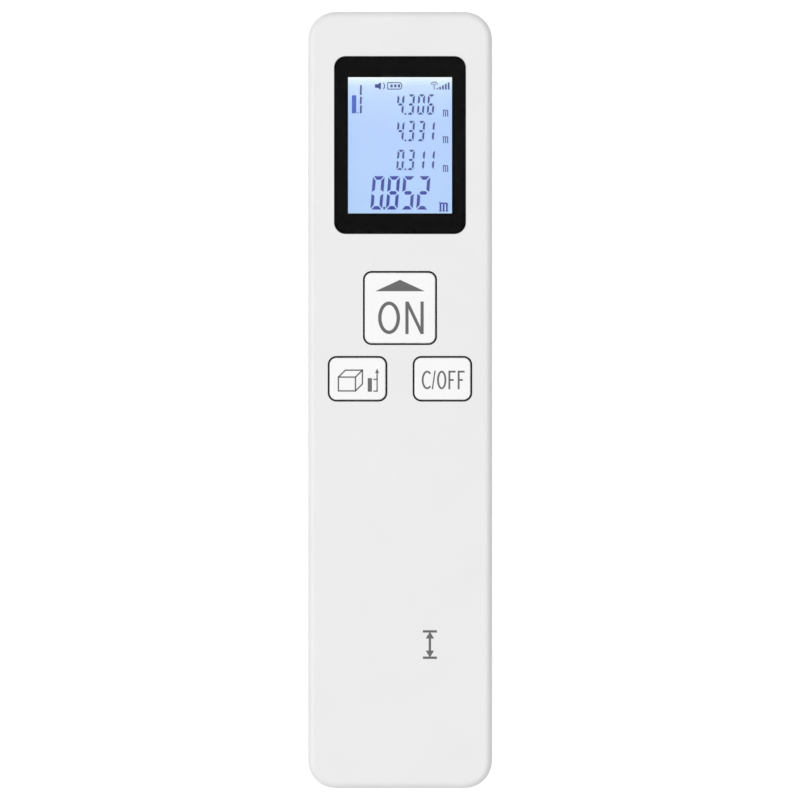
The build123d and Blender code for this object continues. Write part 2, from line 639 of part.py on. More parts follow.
with BuildPart() as key_gasket:
    web_high = on_key_y + ON_KEY_SIZE / 2 + WEB_MARGIN
    web_low = low_keys_y - LOW_KEY_LENGTH / 2 - WEB_MARGIN
    web_half_width = low_key_x + LOW_KEY_WIDTH / 2 + WEB_MARGIN / 2
    block(about(0, 2 * web_half_width), (web_low, web_high), (web_bottom, plate_z))
    for centre, width, length in KEYS.values():
        collar = (width - 2 * SNUG, length - 2 * SNUG, KEY_RADIUS - SNUG)
        plate(*collar, centre, (web_bottom, THICKNESS - COLLAR_SINK))
        opening = KEY_GAP - COLLAR_CLEARANCE
        inner = (width - 2 * opening, length - 2 * opening, KEY_RADIUS - opening)
        plate(*inner, centre, (web_bottom, THICKNESS - COLLAR_SINK), Mode.SUBTRACT)
    for place in SCREW_PLACES:
        post(POST_RADIUS + FIT, place, (web_bottom, plate_z), Mode.SUBTRACT)
save(key_gasket, "key_gasket")

# --- Main board and what is soldered to it --------------------------------------------------------------
with BuildPart() as main_board:
    block(about(0, 2 * board_half_width), (board_low, board_high), (board_bottom, board_top))
    with Locations(*((x, y, board_top) for x, y in SCREW_PLACES)):
        Hole(SCREW_RADIUS + FIT, depth=BOARD_THICKNESS)
save(main_board, "main_board")

under_board = (board_bottom - CHIP_THICKNESS, board_bottom)
with BuildPart() as board_chips:
    block(about(PROCESSOR_X, PROCESSOR_SIZE), about(low_keys_y, PROCESSOR_SIZE), under_board)
    block(about(MEMORY_X, DRIVER_WIDTH), about(low_keys_y, DRIVER_LENGTH), under_board)
    driver_z = (board_top, board_top + CHIP_THICKNESS)
    block(about(low_key_x, DRIVER_WIDTH), about(on_key_y, DRIVER_LENGTH), driver_z)
save(board_chips, "board_chips")

with BuildPart() as crystal:
    crystal_z = (board_top, board_top + CRYSTAL_THICKNESS)
    block(about(-low_key_x, CRYSTAL_WIDTH), about(on_key_y, CRYSTAL_LENGTH), crystal_z)
    fillet(crystal.edges().filter_by(Axis.Z), CRYSTAL_RADIUS)
save(crystal, "crystal")

with BuildPart() as sounder:
    sounder_at = (SOUNDER_X, on_key_y)
    post(SOUNDER_RADIUS, sounder_at, (board_bottom - SOUNDER_HEIGHT, board_bottom))
    sounder_hole_z = (board_bottom - SOUNDER_HEIGHT, board_bottom - SOUNDER_HEIGHT / 2)
    post(SOUNDER_HOLE_RADIUS, sounder_at, sounder_hole_z, Mode.SUBTRACT)
save(sounder, "sounder")

# --- Optics: one block carries the emitter and the receiver in line --------------------------------------
with BuildPart() as optics_chassis:
    block(about(0, CHASSIS_WIDTH), (chassis_low, chassis_high), (chassis_bottom, chassis_top))
    chamfer(optics_chassis.edges().filter_by(Axis.Y), CHASSIS_CHAMFER)
    rod(BARREL_RADIUS + SNUG, laser_at, (barrel_low, chassis_high), Mode.SUBTRACT)
    rod(bore_radius, laser_at, (chassis_low, barrel_low), Mode.SUBTRACT)
    rod(LENS_RADIUS + SNUG, receiver_at, (lens_back, chassis_high), Mode.SUBTRACT)
    rod(shoulder_radius, receiver_at, (chassis_low, lens_back), Mode.SUBTRACT)
    for place in CHASSIS_SCREW_PLACES:
        boss_room = (chassis_bottom, chassis_boss_top + FIT)
        post(CHASSIS_BOSS_RADIUS + FIT, place, boss_room, Mode.SUBTRACT)
        post(CHASSIS_SCREW_RADIUS + FIT, place, (chassis_bottom, chassis_top), Mode.SUBTRACT)
        head_room = (chassis_head_seat, chassis_top)
        post(CHASSIS_SCREW_HEAD + FIT, place, head_room, Mode.SUBTRACT)
save(optics_chassis, "optics_chassis")


def dome(radius, edge, bulge, centre, y_back):
    """A lens, flat at the back and domed towards the measuring end."""
    x, z = centre
    shoulder = y_back + edge
    apex = shoulder + bulge
    curve_radius = (radius**2 + bulge**2) / (2 * bulge)
    half_angle = math.asin(radius / curve_radius) / 2
    halfway = (
        x + curve_radius * math.sin(half_angle),
        apex - curve_radius * (1 - math.cos(half_angle)),
    )
    with BuildSketch(Plane.XY.offset(z)) as profile:
        with BuildLine():
            Polyline((x, apex), (x, y_back), (x + radius, y_back), (x + radius, shoulder))
            ThreePointArc((x + radius, shoulder), halfway, (x, apex))
        make_face()
    revolve(profile.sketch, axis=Axis((x, 0, z), (0, 1, 0)))


with BuildPart() as receiver_lens:
    dome(LENS_RADIUS, LENS_EDGE, LENS_BULGE, receiver_at, lens_back)
save(receiver_lens, "receiver_lens")

with BuildPart() as laser_barrel:
    rod(BARREL_RADIUS, laser_at, (barrel_low, chassis_high))
    rod(bore_radius, laser_at, (barrel_low, chassis_high), Mode.SUBTRACT)
save(laser_barrel, "laser_barrel")

with BuildPart() as collimator_lens:
    collimator_back = chassis_high - COLLIMATOR_SETBACK - COLLIMATOR_THICKNESS - COLLIMATOR_BULGE
    dome(bore_radius - SNUG, COLLIMATOR_THICKNESS, COLLIMATOR_BULGE, laser_at, collimator_back)
save(collimator_lens, "collimator_lens")

with BuildPart() as laser_diode:
    rod(bore_radius - SNUG, laser_at, (diode_seat, diode_seat + DIODE_FLANGE))
    rod(DIODE_RADIUS, laser_at, (diode_seat, diode_seat + DIODE_LENGTH))
save(laser_diode, "laser_diode")

with BuildPart() as receiver_board:
    receiver_board_x = about(0, CHASSIS_WIDTH - 2 * RECEIVER_BOARD_INSET)
    receiver_board_z = about(optics_z, 2 * (chassis_half_height - RECEIVER_BOARD_INSET))
    block(receiver_board_x, (receiver_board_low, receiver_board_high), receiver_board_z)
save(receiver_board, "receiver_board")

with BuildPart() as detector:
    rod(DETECTOR_RADIUS, receiver_at, (receiver_board_high, receiver_board_high + DETECTOR_LENGTH))
save(detector, "detector")

with BuildPart() as shield_can:
    shield_y = (receiver_board_low - SHIELD_DEPTH, receiver_board_low)
    block(about(SHIELD_X, SHIELD_WIDTH), shield_y, about(optics_z, SHIELD_HEIGHT))
    block(
        about(SHIELD_X, SHIELD_WIDTH - 2 * SHIELD_WALL),
        (shield_y[0] + SHIELD_WALL, shield_y[1]),
        about(optics_z, SHIELD_HEIGHT - 2 * SHIELD_WALL),
        Mode.SUBTRACT,
    )
save(shield_can, "shield_can")

# The receiver's ribbon leaves a socket on its own board and ends in one under the main board.
lower_slot_z = board_bottom - SOCKET_HEIGHT / 2
receiver_socket_low = receiver_board_low - SOCKET_LENGTH
receiver_slot_z = optics_z - chassis_half_height / 2
with BuildPart() as optics_flex:
    ribbon(
        [
            (receiver_socket_low + RIBBON_BITE, receiver_slot_z),
            (receiver_socket_low - OPTICS_RIBBON_BEND, receiver_slot_z),
            (board_high + OPTICS_RIBBON_BEND, lower_slot_z),
            (socket_high - RIBBON_BITE, lower_slot_z),
        ],
        OPTICS_RIBBON_BEND,
        OPTICS_RIBBON_X,
        OPTICS_RIBBON_WIDTH,
    )
save(optics_flex, "optics_flex")

with BuildPart() as optics_sockets:
    optics_socket_x = about(OPTICS_RIBBON_X, OPTICS_RIBBON_WIDTH + 2 * SOCKET_MARGIN)
    optics_slot_x = about(OPTICS_RIBBON_X, OPTICS_RIBBON_WIDTH + 2 * FIT)
    slot_height = RIBBON_THICKNESS + 2 * SNUG
    block(optics_socket_x, (socket_low, socket_high), (board_bottom - SOCKET_HEIGHT, board_bottom))
    block(optics_slot_x, slot_y, about(lower_slot_z, slot_height), Mode.SUBTRACT)
    receiver_socket_y = (receiver_socket_low, receiver_board_low)
    block(optics_socket_x, receiver_socket_y, about(receiver_slot_z, SOCKET_HEIGHT))
    receiver_slot_y = (receiver_socket_low, receiver_socket_low + RIBBON_BITE + FIT)
    block(optics_slot_x, receiver_slot_y, about(receiver_slot_z, slot_height), Mode.SUBTRACT)
save(optics_sockets, "optics_sockets")

# --- Measuring end: dark bezel with a receiving window and a beam window ----------------------------------
with BuildPart() as optics_bezel:
    end_plate(
        BEZEL_WIDTH - 2 * FIT,
        bezel_height - 2 * FIT,
        BEZEL_RADIUS - FIT,
        (bezel_back, bezel_face),
    )
    end_plate(
        BEZEL_WIDTH + 2 * BEZEL_FLANGE,
        bezel_flange_height,
        BEZEL_RADIUS,
        (bezel_back, bezel_flange_high),
    )
    for at, radius in ((receiver_at, shoulder_radius), (laser_at, EXIT_RADIUS)):
        rod(radius, at, (bezel_back, bezel_face), Mode.SUBTRACT)
        rod(radius + PANE_SEAT + SNUG, at, (bezel_back, pane_high), Mode.SUBTRACT)
save(optics_bezel, "optics_bezel")

for name, at, radius in (("receiver", receiver_at, shoulder_radius), ("laser", laser_at, EXIT_RADIUS)):
    with BuildPart() as pane:
        rod(radius + PANE_SEAT, at, (pane_high - PANE_THICKNESS, pane_high))
    save(pane, f"{name}_window")

# --- Battery cells and their contacts -------------------------------------------------------------------
for name, side in (("battery_left", -1), ("battery_right", 1)):
    with BuildPart() as cell:
        at = (side * cell_x, cell_z)
        if side < 0:
            ends = (contact_high - CELL_LENGTH, contact_high)
            can = (ends[0], ends[1] - CELL_NUB_LENGTH)
        else:
            ends = (contact_low, contact_low + CELL_LENGTH)
            can = (ends[0] + CELL_NUB_LENGTH, ends[1])
        rod(cell_radius, at, can)
        fillet(cell.edges().filter_by(GeomType.CIRCLE), CELL_EDGE_RADIUS)
        rod(CELL_NUB_RADIUS, at, ends)
    save(cell, name)

contact_z = about(cell_z, CONTACT_SIZE)
for name, side in (("positive_contact", -1), ("negative_contact", 1)):
    with BuildPart() as contact:
        contact_height = (contact_z[0], max(contact_z[1], board_bottom))
        block(about(side * cell_x, CONTACT_SIZE), (contact_high, bay_high), contact_height)
        tail_y = (contact_high, board_low + CONTACT_TAIL_REACH)
        tail_z = (board_bottom - CONTACT_THICKNESS, board_bottom)
        block(about(side * cell_x, CONTACT_TAIL_WIDTH), tail_y, tail_z)
    save(contact, name)

with BuildPart() as bridge_contact:
    block(about(0, 2 * cell_x + CONTACT_SIZE), (bay_low, contact_low), contact_z)
save(bridge_contact, "bridge_contact")


def coil():
    """A coil spring that stands on the XZ plane."""
    height = SPRING_LENGTH - SPRING_WIRE
    with BuildPart() as spring:
        with BuildLine() as turns:
            Helix(
                pitch=height / SPRING_TURNS,
                height=height,
                radius=SPRING_RADIUS,
                center=(0, SPRING_WIRE / 2, 0),
                direction=(0, 1, 0),
            )
        wire = turns.wires()[0]
        with BuildSketch(Plane(origin=wire @ 0, z_dir=wire % 0)):
            Circle(SPRING_WIRE / 2)
        sweep(path=wire, is_frenet=True)
    return spring.part


one_spring = coil()
with BuildPart() as bay_springs:
    left_base = Location((-cell_x, contact_low, cell_z))
    right_base = Location((cell_x, contact_high, cell_z), (0, 0, 180))
    with Locations(left_base, right_base):
        add(one_spring)
save(bay_springs, "bay_springs")


# --- Screws ---------------------------------------------------------------------------------------------
def cross_recess(place, z):
    """A cross cut into a screw head for the driver."""
    for wide, long in ((RECESS_WIDTH, RECESS_LENGTH), (RECESS_LENGTH, RECESS_WIDTH)):
        block(about(place[0], wide), about(place[1], long), z, Mode.SUBTRACT)


with BuildPart() as case_screws:
    head_z = (SCREW_SINK, SCREW_SINK + SCREW_HEAD_HEIGHT)
    for place in SCREW_PLACES:
        post(SCREW_HEAD_RADIUS, place, head_z)
        post(SCREW_RADIUS, place, (SCREW_SINK, board_top + SCREW_BITE))
        cross_recess(place, (SCREW_SINK, SCREW_SINK + RECESS_DEPTH))
save(case_screws, "case_screws")

with BuildPart() as optics_screws:
    head_z = (chassis_head_seat, chassis_head_seat + CHASSIS_SCREW_HEAD_HEIGHT)
    for place in CHASSIS_SCREW_PLACES:
        post(CHASSIS_SCREW_HEAD, place, head_z)
        post(CHASSIS_SCREW_RADIUS, place, (BACK_WALL + FIT, head_z[1]))
        cross_recess(place, (head_z[1] - RECESS_DEPTH, head_z[1]))
save(optics_screws, "optics_screws")

# --- Plain label on the back ----------------------------------------------------------------------------
with BuildPart() as back_label:
    label_at = (LABEL_SINK, LABEL_SINK + LABEL_THICKNESS)
    plate(LABEL_WIDTH, LABEL_LENGTH, LABEL_RADIUS - FIT, (0, window_y), label_at)
save(back_label, "back_label")
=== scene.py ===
import json
import math

import bpy
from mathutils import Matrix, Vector


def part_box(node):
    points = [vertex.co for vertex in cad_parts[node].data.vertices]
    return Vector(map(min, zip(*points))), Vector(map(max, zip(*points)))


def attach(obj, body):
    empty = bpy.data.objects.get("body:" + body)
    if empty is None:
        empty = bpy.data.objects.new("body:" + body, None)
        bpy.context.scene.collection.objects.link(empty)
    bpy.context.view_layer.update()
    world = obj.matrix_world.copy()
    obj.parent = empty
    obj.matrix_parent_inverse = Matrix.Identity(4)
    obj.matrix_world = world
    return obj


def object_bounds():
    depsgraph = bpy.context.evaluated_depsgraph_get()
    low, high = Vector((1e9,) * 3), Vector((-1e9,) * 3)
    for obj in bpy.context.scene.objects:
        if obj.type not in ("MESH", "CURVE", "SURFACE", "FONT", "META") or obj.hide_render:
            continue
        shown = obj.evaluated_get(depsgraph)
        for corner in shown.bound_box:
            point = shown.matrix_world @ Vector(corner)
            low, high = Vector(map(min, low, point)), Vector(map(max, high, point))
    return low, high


# The looks of a pen-type laser distance meter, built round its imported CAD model. Lengths are in metres, and
# flat marks are drawn in millimetres round their own centre.
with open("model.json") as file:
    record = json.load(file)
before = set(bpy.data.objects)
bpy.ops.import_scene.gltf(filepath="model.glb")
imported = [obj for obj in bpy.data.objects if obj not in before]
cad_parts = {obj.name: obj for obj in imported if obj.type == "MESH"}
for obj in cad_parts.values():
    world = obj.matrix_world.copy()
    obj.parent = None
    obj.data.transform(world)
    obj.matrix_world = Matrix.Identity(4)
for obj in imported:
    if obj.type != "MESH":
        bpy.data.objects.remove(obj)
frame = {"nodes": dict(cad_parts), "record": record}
cad_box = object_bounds()
nodes = frame["nodes"]
MM = 0.001

# --- Places taken from the frame ------------------------------------------------------------------------


def centre_of(node):
    low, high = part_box(node)
    return (low + high) / 2


def top_of(node):
    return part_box(node)[1].z


CASE_LOW, CASE_HIGH = cad_box
CASE_CENTRE = (Vector(CASE_LOW) + Vector(CASE_HIGH)) / 2
CASE_LENGTH = CASE_HIGH[1] - CASE_LOW[1]
CASE_EDGE = 1.1 * MM  # height of the rounding between the case's face and its sides
WINDOW_CENTRE = centre_of("window_mask")
PRINT_THICKNESS = 0.02 * MM


# --- Node helpers ---------------------------------------------------------------------------------------
NOISE_LOW = 0.3  # nearly all of a noise lies between these two values
NOISE_HIGH = 0.7


class Shader:
    """A material being made: its nodes, and short ways to add and join them."""

    def __init__(self, name, colour, roughness, **sockets):
        self.material = bpy.data.materials.new(name)
        self.material.use_nodes = True
        self.tree = self.material.node_tree
        self.bsdf = self.tree.nodes["Principled BSDF"]
        self.bsdf.inputs["Base Color"].default_value = (*colour, 1)
        self.bsdf.inputs["Roughness"].default_value = roughness
        for socket, value in sockets.items():
            self.bsdf.inputs[socket.replace("_", " ")].default_value = value
        self.place = self.add("ShaderNodeTexCoord").outputs["Object"]

    def add(self, kind, **settings):
        node = self.tree.nodes.new(kind)
        for key, value in settings.items():
            setattr(node, key, value)
        return node

    def join(self, output, target):
        self.tree.links.new(output, target)

    def noise(self, size, detail=2.0, stretch=(1, 1, 1)):
        """A noise whose lumps are about `size` metres across, drawn out along an axis by stretch."""
        mapping = self.add("ShaderNodeMapping")
        mapping.inputs["Scale"].default_value = [1 / (size * s) for s in stretch]
        self.join(self.place, mapping.inputs["Vector"])
        noise = self.add("ShaderNodeTexNoise")
        noise.inputs["Scale"].default_value = 1.0
        noise.inputs["Detail"].default_value = detail
        self.join(mapping.outputs["Vector"], noise.inputs["Vector"])
        return noise.outputs["Fac"]

    def ramp(self, factor, stops, interpolation="LINEAR"):
        """Colours along a factor, given as (position, colour) pairs."""
        node = self.add("ShaderNodeValToRGB")
        node.color_ramp.interpolation = interpolation
        elements = node.color_ramp.elements
        while len(elements) < len(stops):
            elements.new(0.5)
        for element, (position, colour) in zip(elements, stops):
            element.position = position
            element.color = (*colour, 1)
        self.join(factor, node.inputs["Fac"])
        return node.outputs["Color"]

    def calculate(self, operation, first, second):
        """Two factors combined by a math operation."""
        node = self.add("ShaderNodeMath", operation=operation)
        self.join(first, node.inputs[0])
        self.join(second, node.inputs[1])
        return node.outputs["Value"]

    def along(self, axis, low, high):
        """How far a point lies between two places on an axis, from 0 to 1."""
        split = self.add("ShaderNodeSeparateXYZ")
        self.join(self.place, split.inputs["Vector"])
        return self.map_range(split.outputs[axis], 0, 1, low, high)

    def map_range(self, factor, low, high, start=0.0, end=1.0):
        """A factor stretched so that start to end becomes low to high."""
        remap = self.add("ShaderNodeMapRange")
        remap.inputs["From Min"].default_value = start
        remap.inputs["From Max"].default_value = end
        remap.inputs["To Min"].default_value = low
        remap.inputs["To Max"].default_value = high
        self.join(factor, remap.inputs["Value"])
        return remap.outputs["Result"]

    def vary_colour(self, factor, low, high):
        shades = ((NOISE_LOW, low), (NOISE_HIGH, high))
        self.join(self.ramp(factor, shades), self.bsdf.inputs["Base Color"])

    def vary_roughness(self, factor, low, high):
        spread = self.map_range(factor, low, high, NOISE_LOW, NOISE_HIGH)
        self.join(spread, self.bsdf.inputs["Roughness"])

    def bump(self, factor, depth, strength=1.0):
        node = self.add("ShaderNodeBump")
        node.inputs["Distance"].default_value = depth
        node.inputs["Strength"].default_value = strength
        self.join(factor, node.inputs["Height"])
        self.join(node.outputs["Normal"], self.bsdf.inputs["Normal"])


def scaled(colour, share):
    return tuple(min(1.0, c * share) for c in colour)


# --- Materials ------------------------------------------------------------------------------------------
DISPLAY_GLOW = 1.06
CLOUD_REACH = 0.02  # how far the display's colours wander, as a share of its height
HIDDEN_EDGE = 0.5 * MM  # of the rear polarizer, behind the window's border on each side
DISPLAY_COLOURS = (
    (0.0, (0.46, 0.655, 0.96)),
    (0.07, (0.43, 0.62, 0.955)),
    (0.25, (0.44, 0.63, 0.97)),
    (0.6, (0.445, 0.62, 0.97)),
    (0.82, (0.485, 0.665, 0.98)),
    (0.93, (0.57, 0.74, 0.98)),
    (0.97, (0.69, 0.86, 0.98)),
    (1.0, (0.9, 0.98, 0.99)),
)
SEGMENT_DARK = (0.0, 0.025, 0.24)
SEGMENT_BLUE = (0.0, 0.015, 0.3)
SEGMENT_BAR = (0.025, 0.085, 0.52)
INK_GREY = (0.105, 0.105, 0.105)
ACRYLIC = 1.49  # index of refraction
CROWN_GLASS = 1.52


def moulded(name, colour, roughness, grain=0.25 * MM, depth=0.004 * MM, drift=0.012):
    """Moulded plastic: a fine spark-eroded grain and a very slight drift of colour and gloss."""
    shader = Shader(name, colour, roughness)
    wide = shader.noise(9 * MM, 3)
    shader.vary_colour(wide, scaled(colour, 1 - drift), scaled(colour, 1 + drift))
    shader.vary_roughness(shader.noise(1.5 * MM, 4), roughness - 0.04, roughness + 0.05)
    shader.bump(shader.noise(grain, 2), depth)
    return shader.material


def glossy(name, colour, roughness=0.12):
    """Glossy plastic with faint polishing waves."""
    shader = Shader(name, colour, roughness, Coat_Weight=0.3)
    shader.vary_roughness(shader.noise(3 * MM, 5), roughness, roughness + 0.06)
    shader.bump(shader.noise(6 * MM, 1), 0.002 * MM)
    return shader.material


def clear(name, tint, roughness=0.02, ior=ACRYLIC):
    """A polished transparent pane with a trace of handling haze."""
    shader = Shader(name, tint, roughness, Transmission_Weight=1.0, IOR=ior)
    shader.vary_roughness(shader.noise(8 * MM, 4), roughness, roughness + 0.015)
    return shader.material


def film(name, tint, alpha):
    """A thin inner layer that light passes straight through."""
    shader = Shader(name, tint, 0.08, Alpha=alpha)
    shader.vary_roughness(shader.noise(4 * MM, 3), 0.05, 0.1)
    return shader.material


def metal(name, colour, roughness, stretch=(1, 12, 1), grain=0.15 * MM):
    """Metal with fine drawn or turned marks along one axis."""
    shader = Shader(name, colour, roughness, Metallic=1.0)
    marks = shader.noise(grain, 3, stretch)
    shader.vary_colour(marks, scaled(colour, 0.88), scaled(colour, 1.06))
    shader.vary_roughness(marks, roughness - 0.06, roughness + 0.1)
    shader.bump(marks, 0.003 * MM)
    return shader.material


def rubber(name, colour):
    """Matt silicone or foam with hardly any shine."""
    shader = Shader(name, colour, 0.8, Specular_IOR_Level=0.2)
    shader.vary_roughness(shader.noise(0.8 * MM, 4), 0.72, 0.88)
    shader.bump(shader.noise(0.12 * MM, 2), 0.006 * MM)
    return shader.material


def circuit(name):
    """A circuit board: green resist with faint tracks under it."""
    pad = 2.4 * MM
    shader = Shader(name, (0.02, 0.2, 0.08), 0.35, Coat_Weight=0.2)
    mapping = shader.add("ShaderNodeMapping")
    mapping.inputs["Scale"].default_value = (1 / pad, 1 / pad, 1 / pad)
    shader.join(shader.place, mapping.inputs["Vector"])
    tracks = shader.add("ShaderNodeTexBrick")
    tracks.inputs["Color1"].default_value = (0.015, 0.16, 0.06, 1)
    tracks.inputs["Color2"].default_value = (0.02, 0.22, 0.09, 1)
    tracks.inputs["Mortar"].default_value = (0.04, 0.33, 0.14, 1)
    tracks.inputs["Scale"].default_value = 1.0
    tracks.inputs["Mortar Size"].default_value = 0.05
    shader.join(mapping.outputs["Vector"], tracks.inputs["Vector"])
    shader.join(tracks.outputs["Color"], shader.bsdf.inputs["Base Color"])
    shader.bump(tracks.outputs["Fac"], 0.01 * MM)
    return shader.material


def flexible_circuit(name):
    """Amber film with copper lines running along it."""
    shader = Shader(name, (0.55, 0.22, 0.04), 0.4)
    wave = shader.add("ShaderNodeTexWave", bands_direction="X")
    wave.inputs["Scale"].default_value = 0.5 / MM
    shader.join(shader.place, wave.inputs["Vector"])
    shader.vary_colour(wave.outputs["Fac"], (0.42, 0.15, 0.03), (0.66, 0.32, 0.08))
    shader.bump(wave.outputs["Fac"], 0.01 * MM)
    return shader.material


def cell_wrap(name):
    """The sleeve of a dry cell, with a copper band at its positive end. The two cells lie opposite ways."""
    steel, black, copper = (0.5, 0.5, 0.5), (0.02, 0.02, 0.022), (0.62, 0.32, 0.1)
    bands = ((0.0, steel), (0.03, black), (0.74, copper), (0.95, steel))
    shader = Shader(name, black, 0.3, Coat_Weight=0.5)
    left_low, left_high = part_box("battery_left")
    right_low, right_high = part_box("battery_right")
    between = (left_high.x + right_low.x) / 2
    reach = (right_low.x - left_high.x) / 6  # within the air between the cells
    from_minus_left = shader.along("Y", left_low.y, left_high.y)
    from_minus_right = shader.along("Y", right_high.y, right_low.y)
    is_right = shader.along("X", between - reach, between + reach)
    either = shader.add("ShaderNodeMix")
    shader.join(is_right, either.inputs["Factor"])
    shader.join(from_minus_left, either.inputs["A"])
    shader.join(from_minus_right, either.inputs["B"])
    colours = shader.ramp(either.outputs["Result"], bands, "CONSTANT")
    shader.join(colours, shader.bsdf.inputs["Base Color"])
    shader.vary_roughness(shader.noise(1 * MM, 4), 0.25, 0.35)
    shader.bump(shader.noise(3 * MM, 2), 0.01 * MM)
    return shader.material


def lit_display(name):
    """The lit rear of the display: pale blue, nearly white along the lamp at its upper edge."""
    shader = Shader(name, (0.02, 0.025, 0.03), 0.5)
    low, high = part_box("rear_polarizer")
    height = shader.along("Y", low.y + HIDDEN_EDGE, high.y - HIDDEN_EDGE)
    cloud = shader.map_range(shader.noise(8 * MM, 1), -CLOUD_REACH, CLOUD_REACH)
    glow = shader.ramp(shader.calculate("ADD", height, cloud), DISPLAY_COLOURS)
    shader.join(glow, shader.bsdf.inputs["Emission Color"])
    shader.bsdf.inputs["Emission Strength"].default_value = DISPLAY_GLOW
    return shader.material


def segment_ink(name, colour):
    """A dark liquid crystal segment, still lit a little from behind."""
    shader = Shader(name, (0.01, 0.01, 0.02), 0.4, Emission_Strength=DISPLAY_GLOW)
    cloud = shader.noise(2 * MM, 2)
    shades = ((NOISE_LOW, scaled(colour, 0.9)), (NOISE_HIGH, scaled(colour, 1.1)))
    glow = shader.ramp(cloud, shades)
    shader.join(glow, shader.bsdf.inputs["Emission Color"])
    return shader.material


def printed_ink(name, colour):
    """Pad-printed ink, a little uneven in density."""
    shader = Shader(name, colour, 0.5)
    shader.vary_colour(shader.noise(0.5 * MM, 3), scaled(colour, 0.95), scaled(colour, 1.05))
    shader.bump(shader.noise(0.1 * MM, 2), 0.002 * MM)
    return shader.material



WHITE = (0.802, 0.802, 0.802)
MATERIALS = {
    "case_white": moulded("case_white", WHITE, 0.42),
    "cover_white": moulded("cover_white", scaled(WHITE, 0.985), 0.44),
    "key_white": moulded("key_white", (0.9, 0.9, 0.9), 0.35, depth=0.002 * MM),
    "window_clear": clear("window_clear", (0.98, 0.985, 0.99)),
    "mask_black": glossy("mask_black", (0.01, 0.01, 0.0105)),
    "tape_black": rubber("tape_black", (0.015, 0.015, 0.015)),
    "polarizer": film("polarizer", (0.8, 0.85, 0.9), 0.02),
    "display_glass": film("display_glass", (0.85, 0.9, 0.95), 0.02),
    "display_layer": lit_display("display_layer"),
    "polarizer_rear": film("polarizer_rear", (0.6, 0.7, 0.85), 0.9),
    "light_guide": moulded("light_guide", (0.8, 0.88, 0.95), 0.3),
    "frame_black": moulded("frame_black", (0.015, 0.015, 0.016), 0.5),
    "ribbon_amber": flexible_circuit("ribbon_amber"),
    "socket_cream": moulded("socket_cream", (0.7, 0.64, 0.5), 0.5),
    # Painted shade: the near-black rubber round the keys stands in for the shadow in the gaps round each key.
    "gasket_black": rubber("gasket_black", (0.006, 0.006, 0.006)),
    "switch_body": moulded("switch_body", (0.02, 0.02, 0.02), 0.45),
    "switch_plunger": moulded("switch_plunger", (0.08, 0.08, 0.085), 0.5),
    "board_green": circuit("board_green"),
    "chip_black": moulded("chip_black", (0.018, 0.018, 0.019), 0.6),
    "bright_steel": metal("bright_steel", (0.62, 0.62, 0.63), 0.28),
    "optics_black": moulded("optics_black", (0.012, 0.012, 0.012), 0.65, grain=0.1 * MM, depth=0.008 * MM),
    "barrel_brass": metal("barrel_brass", (0.72, 0.52, 0.24), 0.3, (12, 1, 12)),
    "lens_glass": clear("lens_glass", (0.97, 0.98, 1.0), 0.005, CROWN_GLASS),
    "bezel_black": glossy("bezel_black", (0.01, 0.01, 0.011), 0.2),
    "pane_clear": clear("pane_clear", (0.97, 0.98, 1.0), 0.005),
    "pane_red": clear("pane_red", (0.55, 0.02, 0.02), 0.005),
    "cell_wrap": cell_wrap("cell_wrap"),
    "contact_nickel": metal("contact_nickel", (0.7, 0.68, 0.64), 0.25),
    "spring_steel": metal("spring_steel", (0.62, 0.61, 0.6), 0.25),
    "screw_steel": metal("screw_steel", (0.4, 0.4, 0.41), 0.35, (1, 1, 8)),
    "mark_grey": printed_ink("mark_grey", INK_GREY),
    "label_grey": moulded("label_grey", (0.5, 0.51, 0.52), 0.4, depth=0.001 * MM),
}
PRINT = printed_ink("legend_grey", INK_GREY)
BAR_SEGMENT = segment_ink("segment_bar", SEGMENT_BAR)
DARK_SEGMENTS = segment_ink("segments_dark", SEGMENT_DARK)
BLUE_SEGMENTS = segment_ink("segments_blue", SEGMENT_BLUE)

for entry in frame["record"]["subparts"]:
    mesh = nodes[entry["node"]].data
    mesh.materials.clear()
    mesh.materials.append(MATERIALS[entry["material_slot"]])


# --- Flat shapes, in millimetres round a mark's own centre ----------------------------------------------
# A shape is (points, faces): flat outlines that share points and are later given a thickness.
def polygon(*points):
    return list(points), [tuple(range(len(points)))]


def box_shape(x_low, x_high, y_low, y_high):
    return polygon((x_low, y_low), (x_high, y_low), (x_high, y_high), (x_low, y_high))


SHARPEST_MITRE = 0.3  # cosine at which a corner stops growing longer


def stroke(points, width, closed=False):
    """A line of even width along a path, with mitred corners."""
    count = len(points)
    sides = []
    for index, (x, y) in enumerate(points):
        before = points[index - 1] if index or closed else None
        after = points[(index + 1) % count] if index < count - 1 or closed else None
        steps = []
        if before:
            steps.append(Vector((x - before[0], y - before[1])).normalized())
        if after:
            steps.append(Vector((after[0] - x, after[1] - y)).normalized())
        along = sum(steps, Vector((0, 0))).normalized()
        reach = width / 2 / max(SHARPEST_MITRE, along.dot(steps[0]))
        across_x, across_y = -along.y * reach, along.x * reach
        sides.append(((x + across_x, y + across_y), (x - across_x, y - across_y)))
    flat = [point for pair in sides for point in pair]
    faces = []
    for index in range(count if closed else count - 1):
        a, b = 2 * index, 2 * ((index + 1) % count)
        faces.append((a + 1, b + 1, b, a))
    return flat, faces


def arc(centre, radius_x, radius_y, start, end, steps):
    """Points along part of an ellipse, between two angles in degrees."""
    angles = [math.radians(start + (end - start) * i / steps) for i in range(steps + 1)]
    return [(centre[0] + radius_x * math.cos(a), centre[1] + radius_y * math.sin(a)) for a in angles]


def oval(x_low, x_high, y_low, y_high, width, steps=48):
    """The letter O: an elliptical ring that fills the given box."""
    radius_x = (x_high - x_low - width) / 2
    radius_y = (y_high - y_low - width) / 2
    centre = ((x_low + x_high) / 2, (y_low + y_high) / 2)
    return stroke(arc(centre, radius_x, radius_y, 0, 360, steps)[:-1], width, closed=True)


